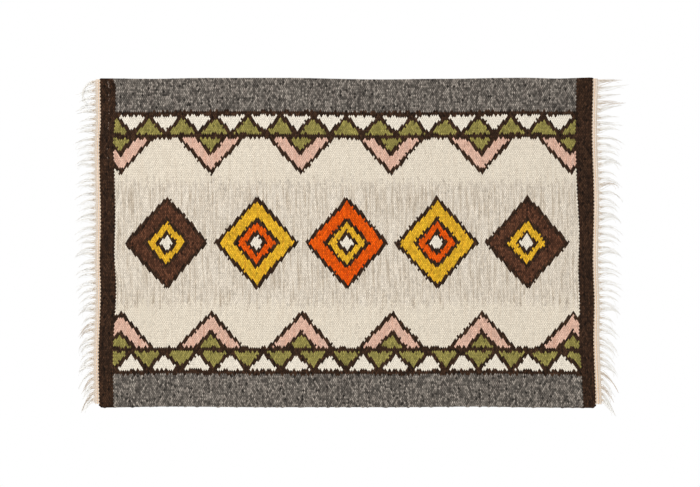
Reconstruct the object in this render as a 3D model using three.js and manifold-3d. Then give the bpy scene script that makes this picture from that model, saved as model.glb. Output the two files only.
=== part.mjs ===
// A flat-woven wool tapestry with a knotted warp fringe at both ends, hung by its top edge.
// Millimetres, +Z up. The origin is the middle of the top edge, on the wall side: the wall is the
// plane y = 0, and the front of the cloth faces -Y. The warp runs along X, so the fringe is left and right.
import * as THREE from 'three';
import { mergeVertices } from 'three/addons/utils/BufferGeometryUtils.js';
import Module from 'manifold-3d';

// Driving dimensions of the cloth
const CLOTH_WIDTH = 1050;
const CLOTH_HEIGHT = 700;
const CLOTH_THICKNESS = 3;
const SELVEDGE_ROUND = 0.8;
const EDGE_STEP = 8;
const COLUMNS = 27;
const ROWS = 18;

// The strip along the top that lies flat on the wall, above where the folds begin
const FIXED_DEPTH = 80;
const FOLD_GROWTH = 1.5;

// The heading strip at each end, which the warp ends come out of
const PART_GAP = 0.3;
const HEADING_WIDTH = 9;
const HEADING_THICKNESS = 2.5;
const HEADING_TOP_DROP = 2;

// The fringe: each lock ties four warp ends in a knot, and each strand is a pair of those ends
const LOCKS = 47;
const LOCK_STRAY = 0.35;
const FIRST_LOCK_DROP = 4;
const LAST_LOCK_RISE = 10;
const NECK_RADIUS = 1.1;
const NECK_ROOT = 1.5;
const KNOT_RADIUS = 1.9;
const KNOT_MIDDLE = 6.5;
const KNOT_END = 9;
const KNOT_SIDES = 4;
const STRAND_RADIUS = 0.8;
const STRAND_SIDES = 3;
const STRAND_LEAST_STEPS = 3;
const STRAND_STEP_TURN = 30;
const STRAND_SPLAY = 7;
const STRAND_STRAY = 14;
const STRAND_APART = 0.5;
const STRAND_DEPTHS = [0.4, 4.2];
const LENGTH_STRAY = 0.4;
const FORWARD_STRAY = 2.5;

// Points nearer than this are one point, in mm
const WELD = 1e-4;

// How far the top edge rises and the bottom edge rises, in mm, at shares of the width from the left
const TOP_EDGE = [
  { at: 0.0, out: 0.2 },
  { at: 0.11, out: -0.8 },
  { at: 0.21, out: 1.0 },
  { at: 0.37, out: 1.2 },
  { at: 0.57, out: -2.1 },
  { at: 0.69, out: -0.8 },
  { at: 0.86, out: 1.5 },
  { at: 0.93, out: -0.2 },
  { at: 1.0, out: 2.0 },
];
const BOTTOM_EDGE = [
  { at: 0.0, out: -0.6 },
  { at: 0.13, out: 1.0 },
  { at: 0.37, out: -0.2 },
  { at: 0.57, out: -0.3 },
  { at: 0.75, out: 1.1 },
  { at: 0.88, out: -0.7 },
  { at: 1.0, out: -1.2 },
];

// How far each side stands outwards, in mm, at shares of the height from the top
const LEFT_EDGE = [
  { at: 0.0, out: 0.2 },
  { at: 0.13, out: -1.2 },
  { at: 0.2, out: 1.6 },
  { at: 0.44, out: -1.5 },
  { at: 0.56, out: 0.3 },
  { at: 0.64, out: -1.6 },
  { at: 0.86, out: 2.8 },
  { at: 1.0, out: 1.0 },
];
const RIGHT_EDGE = [
  { at: 0.0, out: -0.4 },
  { at: 0.16, out: -2.2 },
  { at: 0.38, out: 1.5 },
  { at: 0.55, out: -0.8 },
  { at: 0.69, out: 1.8 },
  { at: 0.78, out: 0.2 },
  { at: 1.0, out: 4.4 },
];

// Soft folds that come forward off the wall: place and half width as shares of the cloth's width,
// and the depth at the bottom edge in mm
const FOLDS = [
  { at: 0.0, reach: 0.17, depth: 6.0 },
  { at: 0.33, reach: 0.2, depth: 3.0 },
  { at: 0.66, reach: 0.16, depth: 4.0 },
  { at: 1.0, reach: 0.2, depth: 7.5 },
];

// How the locks leave the heading and how they end, in degrees above the horizontal, their length
// and how far they come forward of the wall, in mm, at shares of the height from the top
const LEFT_LOCKS = [
  { at: 0.0125, leaves: -15, ends: -170, length: 94, forward: 9 },
  { at: 0.03, leaves: -8, ends: -24, length: 34, forward: 0 },
  { at: 0.3, leaves: 2, ends: -28, length: 34, forward: 1 },
  { at: 0.55, leaves: 8, ends: -48, length: 38, forward: 0 },
  { at: 0.82, leaves: -12, ends: -72, length: 36, forward: 2 },
  { at: 1.0, leaves: -52, ends: -62, length: 36, forward: 0 },
];
const RIGHT_LOCKS = [
  { at: 0.0, leaves: 4, ends: -1, length: 56, forward: 2 },
  { at: 0.08, leaves: 8, ends: 4, length: 46, forward: 0 },
  { at: 0.2, leaves: 10, ends: -36, length: 46, forward: 1 },
  { at: 0.38, leaves: 18, ends: -52, length: 44, forward: 0 },
  { at: 0.62, leaves: 12, ends: -44, length: 44, forward: 2 },
  { at: 0.84, leaves: -20, ends: -62, length: 44, forward: 1 },
  { at: 1.0, leaves: -52, ends: -62, length: 44, forward: 0 },
];

const UNDYED_COTTON = { color: 0xe6d2bb, roughness: 0.9, metalness: 0 };
const WOVEN_WOOL = { color: 0xd9ccbb, roughness: 0.95, metalness: 0 };

// The value of one column of a table at a place between its rows, eased from row to row
function along(table, column, place) {
  const next = table.findIndex((row) => row.at >= place);
  if (next <= 0) return table.at(next)[column];
  const [low, high] = [table[next - 1], table[next]];
  const share = THREE.MathUtils.smoothstep(place, low.at, high.at);
  return THREE.MathUtils.lerp(low[column], high[column], share);
}

// An even but irregular spread of numbers from -0.5 to 0.5, by steps of two irrational shares
function stray(index, salt) {
  const COUNT_SHARE = 0.6180339887;
  const SALT_SHARE = 0.7548776662;
  return ((index * COUNT_SHARE + salt * SALT_SHARE) % 1) - 0.5;
}

// Places from 0 to 1 for the lines of a grid: a narrow step at each end, and even steps between
function gridPlace(line, steps, size) {
  if (line === 0 || line === steps) return line / steps;
  const edge = EDGE_STEP / size;
  return edge + ((line - 1) / (steps - 2)) * (1 - 2 * edge);
}

// How far the back of the cloth stands off the wall, at shares across and down it
function foldDepth(across, down) {
  const fixed = FIXED_DEPTH / CLOTH_HEIGHT;
  const grown = Math.max(0, (down - fixed) / (1 - fixed)) ** FOLD_GROWTH;
  const ridge = ({ at, reach, depth }) => {
    const away = Math.min(1, Math.abs(across - at) / reach);
    return depth * Math.cos((away * Math.PI) / 2) ** 2;
  };
  return grown * FOLDS.reduce((sum, fold) => sum + ridge(fold), 0);
}

// The place of the cloth's back at shares across and down it
function clothBack(across, down) {
  const left = -CLOTH_WIDTH / 2 - along(LEFT_EDGE, 'out', down);
  const right = CLOTH_WIDTH / 2 + along(RIGHT_EDGE, 'out', down);
  const top = along(TOP_EDGE, 'out', across);
  const bottom = -CLOTH_HEIGHT + along(BOTTOM_EDGE, 'out', across);
  return new THREE.Vector3(
    THREE.MathUtils.lerp(left, right, across),
    -foldDepth(across, down),
    THREE.MathUtils.lerp(top, bottom, down),
  );
}

// A box of unit size, cut in steps, with every point moved to where place() puts it.
// place() gets the point's line number along X and Z and its layer, 0 at the back and 1 at the front.
function shapedBox(columns, layers, rows, place) {
  const box = new THREE.BoxGeometry(1, 1, 1, columns, layers, rows);
  const points = box.getAttribute('position');
  for (let i = 0; i < points.count; i += 1) {
    const column = Math.round((points.getX(i) + 0.5) * columns);
    const layer = 0.5 - points.getY(i);
    const row = Math.round((0.5 - points.getZ(i)) * rows);
    points.setXYZ(i, ...place(column, layer, row));
  }
  return box;
}

// The cloth: one sheet with its uneven outline, its soft folds and a rounded edge all round
function panelGeometry() {
  return shapedBox(COLUMNS, 2, ROWS, (column, layer, row) => {
    const across = gridPlace(column, COLUMNS, CLOTH_WIDTH);
    const down = gridPlace(row, ROWS, CLOTH_HEIGHT);
    const point = clothBack(across, down);
    const inset = layer === 0.5 ? 0 : SELVEDGE_ROUND;
    if (column === 0) point.x += inset;
    if (column === COLUMNS) point.x -= inset;
    if (row === 0) point.z -= inset;
    if (row === ROWS) point.z += inset;
    return [point.x, point.y - layer * CLOTH_THICKNESS, point.z];
  });
}

// One end of the tapestry: side is -1 for the left end and 1 for the right
class FringedEnd {
  constructor(side) {
    this.side = side;
    this.across = side < 0 ? 0 : 1;
    this.table = side < 0 ? LEFT_LOCKS : RIGHT_LOCKS;
    this.sag = (CLOTH_THICKNESS - HEADING_THICKNESS) / 2;
  }

  // The strip beside the cloth's end. Its rows are the cloth's, without the last narrow one.
  headingGeometry() {
    return shapedBox(1, 1, ROWS - 1, (column, layer, row) => {
      const point = clothBack(this.across, gridPlace(row, ROWS, CLOTH_HEIGHT));
      const outer = this.side < 0 ? column === 0 : column === 1;
      point.x += this.side * (PART_GAP + (outer ? HEADING_WIDTH : 0));
      if (row === 0) point.z -= HEADING_TOP_DROP;
      return [point.x, point.y - this.sag - layer * HEADING_THICKNESS, point.z];
    });
  }

  // Where lock number index leaves the heading: the middle of the strip's outer edge
  root(index) {
    const first = FIRST_LOCK_DROP / CLOTH_HEIGHT;
    const last = 1 - LAST_LOCK_RISE / CLOTH_HEIGHT;
    const share = (index + 0.5 + LOCK_STRAY * stray(index, 1)) / LOCKS;
    const down = THREE.MathUtils.lerp(first, last, share);
    const point = clothBack(this.across, down);
    point.x += this.side * (PART_GAP + HEADING_WIDTH);
    point.y -= KNOT_RADIUS;
    return { point, share };
  }

  // A direction in the plane of the cloth, at an angle above the horizontal, outwards
  heading(degrees) {
    const angle = THREE.MathUtils.degToRad(degrees);
    return new THREE.Vector3(this.side * Math.cos(angle), 0, Math.sin(angle));
  }

  // The warp ends gathered from the heading into their knot
  knotGeometry(root, degrees) {
    const profile = [
      new THREE.Vector2(0, -NECK_ROOT),
      new THREE.Vector2(NECK_RADIUS, -NECK_ROOT),
      new THREE.Vector2(KNOT_RADIUS, KNOT_MIDDLE),
      new THREE.Vector2(0, KNOT_END),
    ];
    const knot = new THREE.LatheGeometry(profile, KNOT_SIDES);
    const turn = new THREE.Quaternion();
    turn.setFromUnitVectors(new THREE.Vector3(0, 1, 0), this.heading(degrees));
    return knot.applyQuaternion(turn).translate(root.x, root.y, root.z);
  }

  // A strand from the knot: its direction turns evenly from one angle to the other along its length
  strandGeometry(start, leaves, ends, length, forward) {
    const steps = Math.max(STRAND_LEAST_STEPS, Math.round(Math.abs(ends - leaves) / STRAND_STEP_TURN));
    const points = [start.clone()];
    for (let step = 0; step < steps; step += 1) {
      const share = (step + 0.5) / steps;
      const stride = this.heading(THREE.MathUtils.lerp(leaves, ends, share));
      stride.multiplyScalar(length / steps);
      stride.y = -forward / steps;
      points.push(points.at(-1).clone().add(stride));
    }
    const section = new THREE.Shape();
    for (let corner = 0; corner < STRAND_SIDES; corner += 1) {
      const turn = (corner / STRAND_SIDES) * 2 * Math.PI;
      const [x, y] = [STRAND_RADIUS * Math.cos(turn), STRAND_RADIUS * Math.sin(turn)];
      if (corner === 0) section.moveTo(x, y);
      else section.lineTo(x, y);
    }
    return new THREE.ExtrudeGeometry(section, {
      steps,
      extrudePath: new THREE.CatmullRomCurve3(points),
      bevelEnabled: false,
    });
  }

  // A lock: its knot and its two strands, one splayed up and one down
  lockGeometries(index) {
    const { point, share } = this.root(index);
    const leaves = along(this.table, 'leaves', share) + STRAND_STRAY * stray(index, 2);
    const ends = along(this.table, 'ends', share) + STRAND_STRAY * stray(index, 3);
    const length = along(this.table, 'length', share) * (1 + LENGTH_STRAY * stray(index, 4));
    const forward = along(this.table, 'forward', share) + FORWARD_STRAY * (0.5 + stray(index, 5));
    const knot = this.knotGeometry(point, leaves / 2);
    const middle = point.clone().addScaledVector(this.heading(leaves / 2), KNOT_MIDDLE);
    const strands = STRAND_DEPTHS.map((depth, number) => {
      const splay = number === 0 ? STRAND_SPLAY : -STRAND_SPLAY;
      const start = middle.clone();
      start.z += Math.sign(splay) * STRAND_APART;
      return this.strandGeometry(start, leaves + splay, ends + splay, length, depth + forward);
    });
    return [knot, ...strands];
  }

  geometries() {
    const indices = Array.from({ length: LOCKS }, (_, index) => index);
    return [this.headingGeometry(), ...indices.flatMap((index) => this.lockGeometries(index))];
  }
}

// A closed geometry as a solid, and a solid as a geometry
const wasm = await Module();
wasm.setup();

function solidOf(geometry) {
  const bare = geometry.clone();
  bare.deleteAttribute('normal');
  bare.deleteAttribute('uv');
  const merged = mergeVertices(bare, WELD);
  return new wasm.Manifold(new wasm.Mesh({
    numProp: 3,
    vertProperties: merged.getAttribute('position').array,
    triVerts: new Uint32Array(merged.index.array),
  }));
}

function fused(geometries) {
  const joined = geometries.map(solidOf).reduce((whole, solid) => whole.add(solid));
  const { vertProperties, triVerts } = joined.getMesh();
  const geometry = new THREE.BufferGeometry();
  geometry.setAttribute('position', new THREE.BufferAttribute(vertProperties, 3));
  geometry.setIndex(new THREE.BufferAttribute(triVerts, 1));
  geometry.computeVertexNormals();
  return geometry;
}

function namedMesh(name, geometry, finish) {
  const mesh = new THREE.Mesh(geometry, new THREE.MeshStandardMaterial(finish));
  mesh.name = name;
  return mesh;
}

const tapestry = new THREE.Group();
tapestry.add(
  namedMesh('woven_panel', panelGeometry(), WOVEN_WOOL),
  namedMesh('fringe_left', fused(new FringedEnd(-1).geometries()), UNDYED_COTTON),
  namedMesh('fringe_right', fused(new FringedEnd(1).geometries()), UNDYED_COTTON),
);

export default tapestry;
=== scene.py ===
"""A flat-woven wool tapestry with knotted cotton fringes, hung by its top edge.

Metres, +Z up. The origin is the middle of the top edge on the wall side: the wall is the plane y = 0 and
the front of the cloth faces -Y. The warp runs along X, so the fringes are at the left and right ends and the
weft stands upright. Real sizes are written in millimetres times MM, and in materials in millimetres.
"""
import logging
import math
from dataclasses import dataclass
from enum import Enum, IntEnum
from typing import Any, NamedTuple

import bpy
import numpy as np
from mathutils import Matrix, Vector


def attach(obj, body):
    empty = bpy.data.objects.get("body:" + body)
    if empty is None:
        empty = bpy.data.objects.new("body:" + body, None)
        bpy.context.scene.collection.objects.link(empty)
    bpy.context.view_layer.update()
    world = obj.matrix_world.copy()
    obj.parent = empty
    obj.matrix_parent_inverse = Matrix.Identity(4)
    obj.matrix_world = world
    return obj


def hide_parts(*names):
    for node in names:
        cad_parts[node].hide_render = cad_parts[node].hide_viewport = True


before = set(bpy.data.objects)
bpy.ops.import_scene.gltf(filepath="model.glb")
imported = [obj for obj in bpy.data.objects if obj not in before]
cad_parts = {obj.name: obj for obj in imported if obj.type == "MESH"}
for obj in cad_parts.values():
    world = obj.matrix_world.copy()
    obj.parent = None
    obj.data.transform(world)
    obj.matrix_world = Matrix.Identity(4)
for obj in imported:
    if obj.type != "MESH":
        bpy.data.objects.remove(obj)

MM = 0.001
BODY = "root"
FORWARD = np.array([0.0, -1.0, 0.0])
# A mix of colours has them on inputs 6 and 7; a noise has place, w, scale, detail and roughness in turn
COLOUR_MIX = {"data_type": "RGBA", "output": 2}
# Added to the share of the turn on the yarn map where a yarn has its second shade: a lock that is tan to
# its tips, or the paler outermost cord of a heading
SHADE_TURN = 2
# Two irrational steps, which never fall into a pattern: from index to index, and from spread to spread
INDEX_STEP = 0.6180339887
SPREAD_STEP = 0.7548776662
GOLDEN_ANGLE = math.pi * (3 - math.sqrt(5))
Socket = bpy.types.NodeSocket
log = logging.getLogger("tapestry")


class Side(Enum):
    """An end of the cloth; the value is the sign of its outward direction along X."""

    LEFT = -1
    RIGHT = 1

    @property
    def across(self) -> float:
        """The end's place as a share of the width from the left."""
        return 0.0 if self is Side.LEFT else 1.0

    @property
    def word(self) -> str:
        """The end's name for its pieces."""
        return self.name.lower()


@dataclass(frozen=True)
class EasedTable:
    """Values at a few places from 0 to 1, eased from row to row; the first column is the place."""

    columns: tuple[str, ...]
    rows: tuple[tuple[float, ...], ...]

    def along(self, column: str, place: np.ndarray) -> np.ndarray:
        """Reads one column between its rows: low + (high - low) * (3 q^2 - 2 q^3), q the share of the gap.

        Args:
            column: the column's name.
            place: places from 0 to 1.

        Returns:
            The values at those places.
        """
        table = np.array(self.rows)
        at, values = table[:, 0], table[:, self.columns.index(column)]
        above = np.clip(np.searchsorted(at, place), 1, len(at) - 1)
        share = np.clip((place - at[above - 1]) / (at[above] - at[above - 1]), 0, 1)
        return lerp(values[above - 1], values[above], eased(share))


def lerp(low: Any, high: Any, share: Any) -> Any:
    """The value that lies that share of the way from low to high."""
    return low + (high - low) * share


def eased(share: Any) -> Any:
    """A share from 0 to 1 that starts and ends gently: 3 q^2 - 2 q^3."""
    return share**2 * (3 - 2 * share)


class Spread(IntEnum):
    """What strays from lock to lock or from end to end, by the number of its spread."""

    LOCK_PLACE = 1
    LEAVES = 2
    ENDS = 3
    LENGTH = 4
    FORWARD = 5
    END_LENGTH = 6
    CRIMP = 8
    SLIP = 9
    WINDING = 9
    BEND = 10
    TURN = 11
    BUNDLE = 12
    WILD = 13


def stray(index: np.ndarray, spread: Spread) -> np.ndarray:
    """An even but irregular spread from -0.5 to 0.5, one value for each counting number."""
    return (index * INDEX_STEP + spread * SPREAD_STEP) % 1 - 0.5


# How far each edge of the cloth stands outwards, in mm, at shares of its length
EDGE = ("at", "out")
TOP_EDGE = EasedTable(EDGE, (
    (0.0, 0.2), (0.11, -0.8), (0.21, 1.0), (0.37, 1.2), (0.57, -2.1), (0.69, -0.8), (0.86, 1.5),
    (0.93, -0.2), (1.0, 2.0),
))
BOTTOM_EDGE = EasedTable(EDGE, (
    (0.0, -0.6), (0.13, 1.0), (0.37, -0.2), (0.57, -0.3), (0.75, 1.1), (0.88, -0.7), (1.0, -1.2),
))
LEFT_EDGE = EasedTable(EDGE, (
    (0.0, 0.2), (0.13, -1.2), (0.2, 1.6), (0.44, -1.5), (0.56, 0.3), (0.64, -1.6), (0.86, 2.8), (1.0, 1.0),
))
RIGHT_EDGE = EasedTable(EDGE, (
    (0.0, -0.4), (0.16, -2.2), (0.38, 1.5), (0.55, -0.8), (0.69, 1.8), (0.78, 0.2), (1.0, 4.4),
))

# The width of the dark band along each end, in mm, at shares of the height from the top
BAND = ("at", "width")
END_BANDS = {
    Side.LEFT: EasedTable(BAND, (
        (0.0, 28.5), (0.025, 34.2), (0.07, 33.6), (0.18, 30.8), (0.3, 32.4), (0.5, 31.8), (0.62, 34.2),
        (0.82, 32.0), (1.0, 31.4),
    )),
    Side.RIGHT: EasedTable(BAND, (
        (0.0, 35.0), (0.33, 35.6), (0.5, 29.6), (0.62, 31.5), (0.8, 30.6), (0.88, 27.7), (1.0, 26.0),
    )),
}

# The width of the heading beside each end band, in mm, at shares of the height from the top
HEADINGS = {
    Side.LEFT: EasedTable(BAND, ((0.0, 9.0), (0.5, 9.4), (1.0, 9.0))),
    Side.RIGHT: EasedTable(BAND, ((0.0, 10.0), (0.6, 10.5), (0.82, 12.5), (1.0, 13.0))),
}

# How the locks leave the heading and end, in degrees above the horizontal, their length, how far they come
# forward of the wall and how far they start above their even place, in mm, at shares of the height from
# the top
LOCK = ("at", "leaves", "ends", "length", "forward", "rise")
LOCKS = {
    Side.LEFT: EasedTable(LOCK, (
        (0.0125, -15, -170, 94, 9, 6), (0.03, -8, -24, 34, 0, 0), (0.3, 2, -28, 34, 1, 0),
        (0.55, 8, -48, 38, 0, 0), (0.82, -12, -72, 36, 2, 0), (1.0, -52, -62, 36, 0, 0),
    )),
    Side.RIGHT: EasedTable(LOCK, (
        (0.0125, 4, -1, 56, 2, 6), (0.08, 8, 4, 46, 0, 0), (0.2, 10, -36, 46, 1, 0),
        (0.38, 18, -52, 44, 0, 0), (0.62, 12, -44, 44, 2, 0), (0.84, -20, -62, 44, 1, 0),
        (1.0, -52, -62, 44, 0, 0),
    )),
}
# The size of a lock's section at shares of the way from its knot
SECTION = ((0.0, 0.3, 0.7, 1.0), (0.4, 1.0, 0.85, 0.5))
# The locks that have kept the tan of the heading, counted from the top
TAN_LOCKS = {Side.LEFT: (35, 36, 43, 45), Side.RIGHT: (0, 3, 15, 42, 44)}


class Fold(NamedTuple):
    """A soft fold: place and half width as shares of the width, and the depth at the bottom edge in mm."""

    at: float
    reach: float
    depth: float


FOLDS = (Fold(0.0, 0.17, 6.0), Fold(0.33, 0.2, 3.0), Fold(0.66, 0.16, 4.0), Fold(1.0, 0.2, 7.5))


@dataclass(frozen=True)
class ClothShape:
    """The outline and the soft folds in which the cloth hangs."""

    width: float = 1050 * MM
    height: float = 700 * MM
    thickness: float = 3 * MM
    warps: int = 188
    fixed_depth: float = 80 * MM
    fold_growth: float = 1.5

    @property
    def warp_pitch(self) -> float:
        """The spacing of the warps."""
        return self.height / self.warps

    def fold_depth(self, across: np.ndarray, down: np.ndarray) -> np.ndarray:
        """How far the back stands off the wall.

        Each fold is depth * cos^2 of its share of the half width, and all of them grow from the fixed strip
        at the top to the bottom edge as a power of the way down.

        Args:
            across: shares of the width from the left.
            down: shares of the height from the top.

        Returns:
            The depth in metres.
        """
        fixed = self.fixed_depth / self.height
        grown = np.clip((down - fixed) / (1 - fixed), 0, 1) ** self.fold_growth
        ridges = [
            fold.depth * MM * np.cos(np.clip(abs(across - fold.at) / fold.reach, 0, 1) * math.pi / 2) ** 2
            for fold in FOLDS
        ]
        return grown * sum(ridges)

    def back(self, across: np.ndarray, down: np.ndarray) -> np.ndarray:
        """Points on the back of the cloth: straight shares between the uneven edges, behind them the fold.

        Args:
            across: shares of the width from the left.
            down: shares of the height from the top, of the same shape.

        Returns:
            Points, with a last axis of x, y and z.
        """
        left = -self.width / 2 - LEFT_EDGE.along("out", down) * MM
        right = self.width / 2 + RIGHT_EDGE.along("out", down) * MM
        top = TOP_EDGE.along("out", across) * MM
        bottom = -self.height + BOTTOM_EDGE.along("out", across) * MM
        place = (lerp(left, right, across), -self.fold_depth(across, down), lerp(top, bottom, down))
        return np.stack(place, axis=-1)

    def end_line(self, side: Side, down: np.ndarray) -> np.ndarray:
        """Points on the back of the cloth along one end, at lengths down it."""
        return self.back(np.full(len(down), side.across), down / self.height)


class Surface(NamedTuple):
    """Arrays for a mesh: its points, its four-sided faces and the UV corners of each face."""

    points: np.ndarray
    quads: np.ndarray
    corners: np.ndarray

    def joined(self, other: "Surface") -> "Surface":
        """Puts another surface to this one, its point numbers moved up.

        Args:
            other: the other surface.

        Returns:
            Both as one.
        """
        points = np.concatenate([self.points, other.points])
        quads = np.concatenate([self.quads, other.quads + len(self.points)])
        return Surface(points, quads, np.concatenate([self.corners, other.corners]))


def mesh_piece(
    name: str, points: np.ndarray, quads: np.ndarray, maps: dict[str, np.ndarray]
) -> bpy.types.Object:
    """Puts a surface of four-sided faces into a smooth mesh object at the origin.

    Args:
        name: the piece's name.
        points: points, with a last axis of x, y and z.
        quads: four point numbers for each face.
        maps: UV maps by name, each with four corners of two numbers for each face.

    Returns:
        The new object.
    """
    mesh = bpy.data.meshes.new(name)
    mesh.from_pydata(points.reshape(-1, 3), [], quads)
    mesh.polygons.foreach_set("use_smooth", np.ones(len(quads), bool))
    for map_name, corners in maps.items():
        layer = mesh.uv_layers.new(name=map_name)
        layer.data.foreach_set("uv", corners.astype(np.float32).ravel())
    mesh.update()
    piece = bpy.data.objects.new(name, mesh)
    bpy.context.scene.collection.objects.link(piece)
    return piece


def unit(vectors: np.ndarray) -> np.ndarray:
    """The vectors at length one."""
    return vectors / np.linalg.norm(vectors, axis=-1, keepdims=True)


def swept_tubes(
    paths: np.ndarray, radii: np.ndarray, aside: np.ndarray, turned: np.ndarray | None = None
) -> Surface:
    """Carries a closed section along many paths at once.

    A ring's point is path + radius * (cos(turn) n + sin(turn) b), where n is the path's direction crossed
    with aside, and b the direction crossed with n. Both ends are closed by fans of four-sided faces.

    Args:
        paths: the middle lines, as tubes by steps by 3.
        radii: the radius at each ring point, as tubes by steps by an even count of sides.
        aside: a direction that no path runs along, or one for each step.
        turned: what to add to the share of the turn of each tube.

    Returns:
        The surface, with UV corners of metres along the tube and share of the turn.
    """
    tubes, steps, sides = radii.shape
    turned = np.zeros(tubes) if turned is None else turned
    along = unit(np.gradient(paths, axis=1))
    n = unit(np.cross(along, aside))
    b = np.cross(along, n)
    turn = np.arange(sides) / sides * 2 * math.pi
    ring = np.cos(turn)[:, None] * n[:, :, None] + np.sin(turn)[:, None] * b[:, :, None]
    points = (paths[:, :, None] + radii[..., None] * ring).reshape(-1, 3)

    tube, step, side = np.meshgrid(np.arange(tubes), np.arange(steps - 1), np.arange(sides), indexing="ij")
    corner_steps = np.stack([step, step, step + 1, step + 1], axis=-1)
    corner_sides = np.stack([side, side + 1, side + 1, side], axis=-1)
    corner_tubes = np.repeat(tube[..., None], 4, axis=-1)
    quads = ((corner_tubes * steps + corner_steps) * sides + corner_sides % sides).reshape(-1, 4)
    stride = np.linalg.norm(np.diff(paths, axis=1), axis=-1)
    length = np.concatenate([np.zeros((tubes, 1)), np.cumsum(stride, axis=1)], axis=1)
    shares = corner_sides / sides + turned[corner_tubes]
    corners = np.stack([length[corner_tubes, corner_steps], shares], axis=-1).reshape(-1, 4, 2)

    odd = np.arange(1, sides - 2, 2)
    fan = np.stack([0 * odd, odd, odd + 1, odd + 2], axis=-1)
    starts = (np.arange(tubes) * steps * sides)[:, None, None] + fan[None, :, ::-1]
    ends = (np.arange(1, tubes + 1) * steps * sides - sides)[:, None, None] + fan[None]
    caps = np.concatenate([starts.reshape(-1, 4), ends.reshape(-1, 4)])
    cap_corners = np.zeros((2, tubes, len(fan), 4, 2))
    cap_corners[1, ..., 0] = length[:, -1, None, None]
    cap_corners[..., 1] = turned[:, None, None]
    corners = np.concatenate([corners, cap_corners.reshape(-1, 4, 2)])
    return Surface(points, np.concatenate([quads, caps]), corners)


def linear(colour: str) -> tuple[float, float, float, float]:
    """Turns an sRGB hex colour to the linear values that shaders use.

    Args:
        colour: six hex digits after a hash.

    Returns:
        Red, green, blue and an alpha of 1.
    """
    shares = [int(colour[i:i + 2], 16) / 255 for i in (1, 3, 5)]
    red, green, blue = (c / 12.92 if c <= 0.04045 else ((c + 0.055) / 1.055) ** 2.4 for c in shares)
    return red, green, blue, 1.0


class NodeGraph:
    """The nodes of one material or world."""

    def __init__(self, owner: bpy.types.Material | bpy.types.World) -> None:
        """Starts with no nodes.

        Args:
            owner: the material or world.
        """
        self.owner = owner
        owner.use_nodes = True
        self.tree = owner.node_tree
        self.tree.nodes.clear()

    def add(
        self, kind: str, *values: Any, named: dict[int | str, Any] | None = None, output: int | str = 0,
        stops: list[tuple[float, Any]] | None = None, **settings: Any,
    ) -> Socket | None:
        """Adds a node with its settings and links.

        Args:
            kind: the node's type after ShaderNode, with its operation, where it has one, after a colon.
            values: a socket to link or a constant for each input in turn; None leaves one as it is.
            named: the same by the input's name or number.
            output: which output to give back.
            stops: places and colours of a colour ramp with hard steps.
            settings: the node's own properties.

        Returns:
            The output socket, or None where the node has none.
        """
        name, _, operation = kind.partition(":")
        node = self.tree.nodes.new(f"ShaderNode{name}")
        if operation:
            node.operation = operation
        for key, value in settings.items():
            setattr(node, key, value)
        for key, value in [*enumerate(values), *(named or {}).items()]:
            if isinstance(value, Socket):
                self.tree.links.new(value, node.inputs[key])
            elif value is not None:
                node.inputs[key].default_value = value
        if stops:
            ramp = node.color_ramp
            ramp.interpolation = "CONSTANT"
            ramp.elements.remove(ramp.elements[-1])
            for number, (place, colour) in enumerate(stops):
                element = ramp.elements[0] if number == 0 else ramp.elements.new(place)
                element.position, element.color = place, colour
        return node.outputs[output] if node.outputs else None


class Yarn(IntEnum):
    """The yarns of the weft, by their number on the chart."""

    CREAM = 0
    GREIGE = 1
    WHITE = 2
    DARK = 3
    GREY = 4
    OLIVE = 5
    ORANGE = 6
    MUSTARD = 7
    PINK = 8
    RUST = 9


class Dye(NamedTuple):
    """A yarn's two dye lots, and by how many stops of light its grains differ at most."""

    light: str
    deep: str
    stops: float


DYES = {
    Yarn.CREAM: Dye("#e5dac8", "#ddd0bd", 0.09),
    Yarn.GREIGE: Dye("#e4d9c9", "#baab97", 0.16),
    Yarn.WHITE: Dye("#ebe2d2", "#e3d9c8", 0.09),
    Yarn.DARK: Dye("#3c281b", "#2d1f15", 0.8),
    Yarn.GREY: Dye("#7a736b", "#605852", 1.1),
    Yarn.OLIVE: Dye("#958b4c", "#837940", 0.4),
    Yarn.ORANGE: Dye("#e35a08", "#d94a04", 0.4),
    Yarn.MUSTARD: Dye("#e2b22c", "#d99f27", 0.35),
    Yarn.PINK: Dye("#dfb8a4", "#d3a58f", 0.2),
    Yarn.RUST: Dye("#5d3a28", "#472c1f", 0.8),
}


class Lattice(NamedTuple):
    """Sockets for the grain of weft that a point lies in; lengths in mm.

    across and down are where the grain takes its colour from, along and level where the point itself is,
    pick and row are the grain's numbers, and edge goes from 0 at its middle to 1 at its rim.
    """

    across: Socket
    down: Socket
    along: Socket
    level: Socket
    pick: Socket
    row: Socket
    edge: Socket


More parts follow.
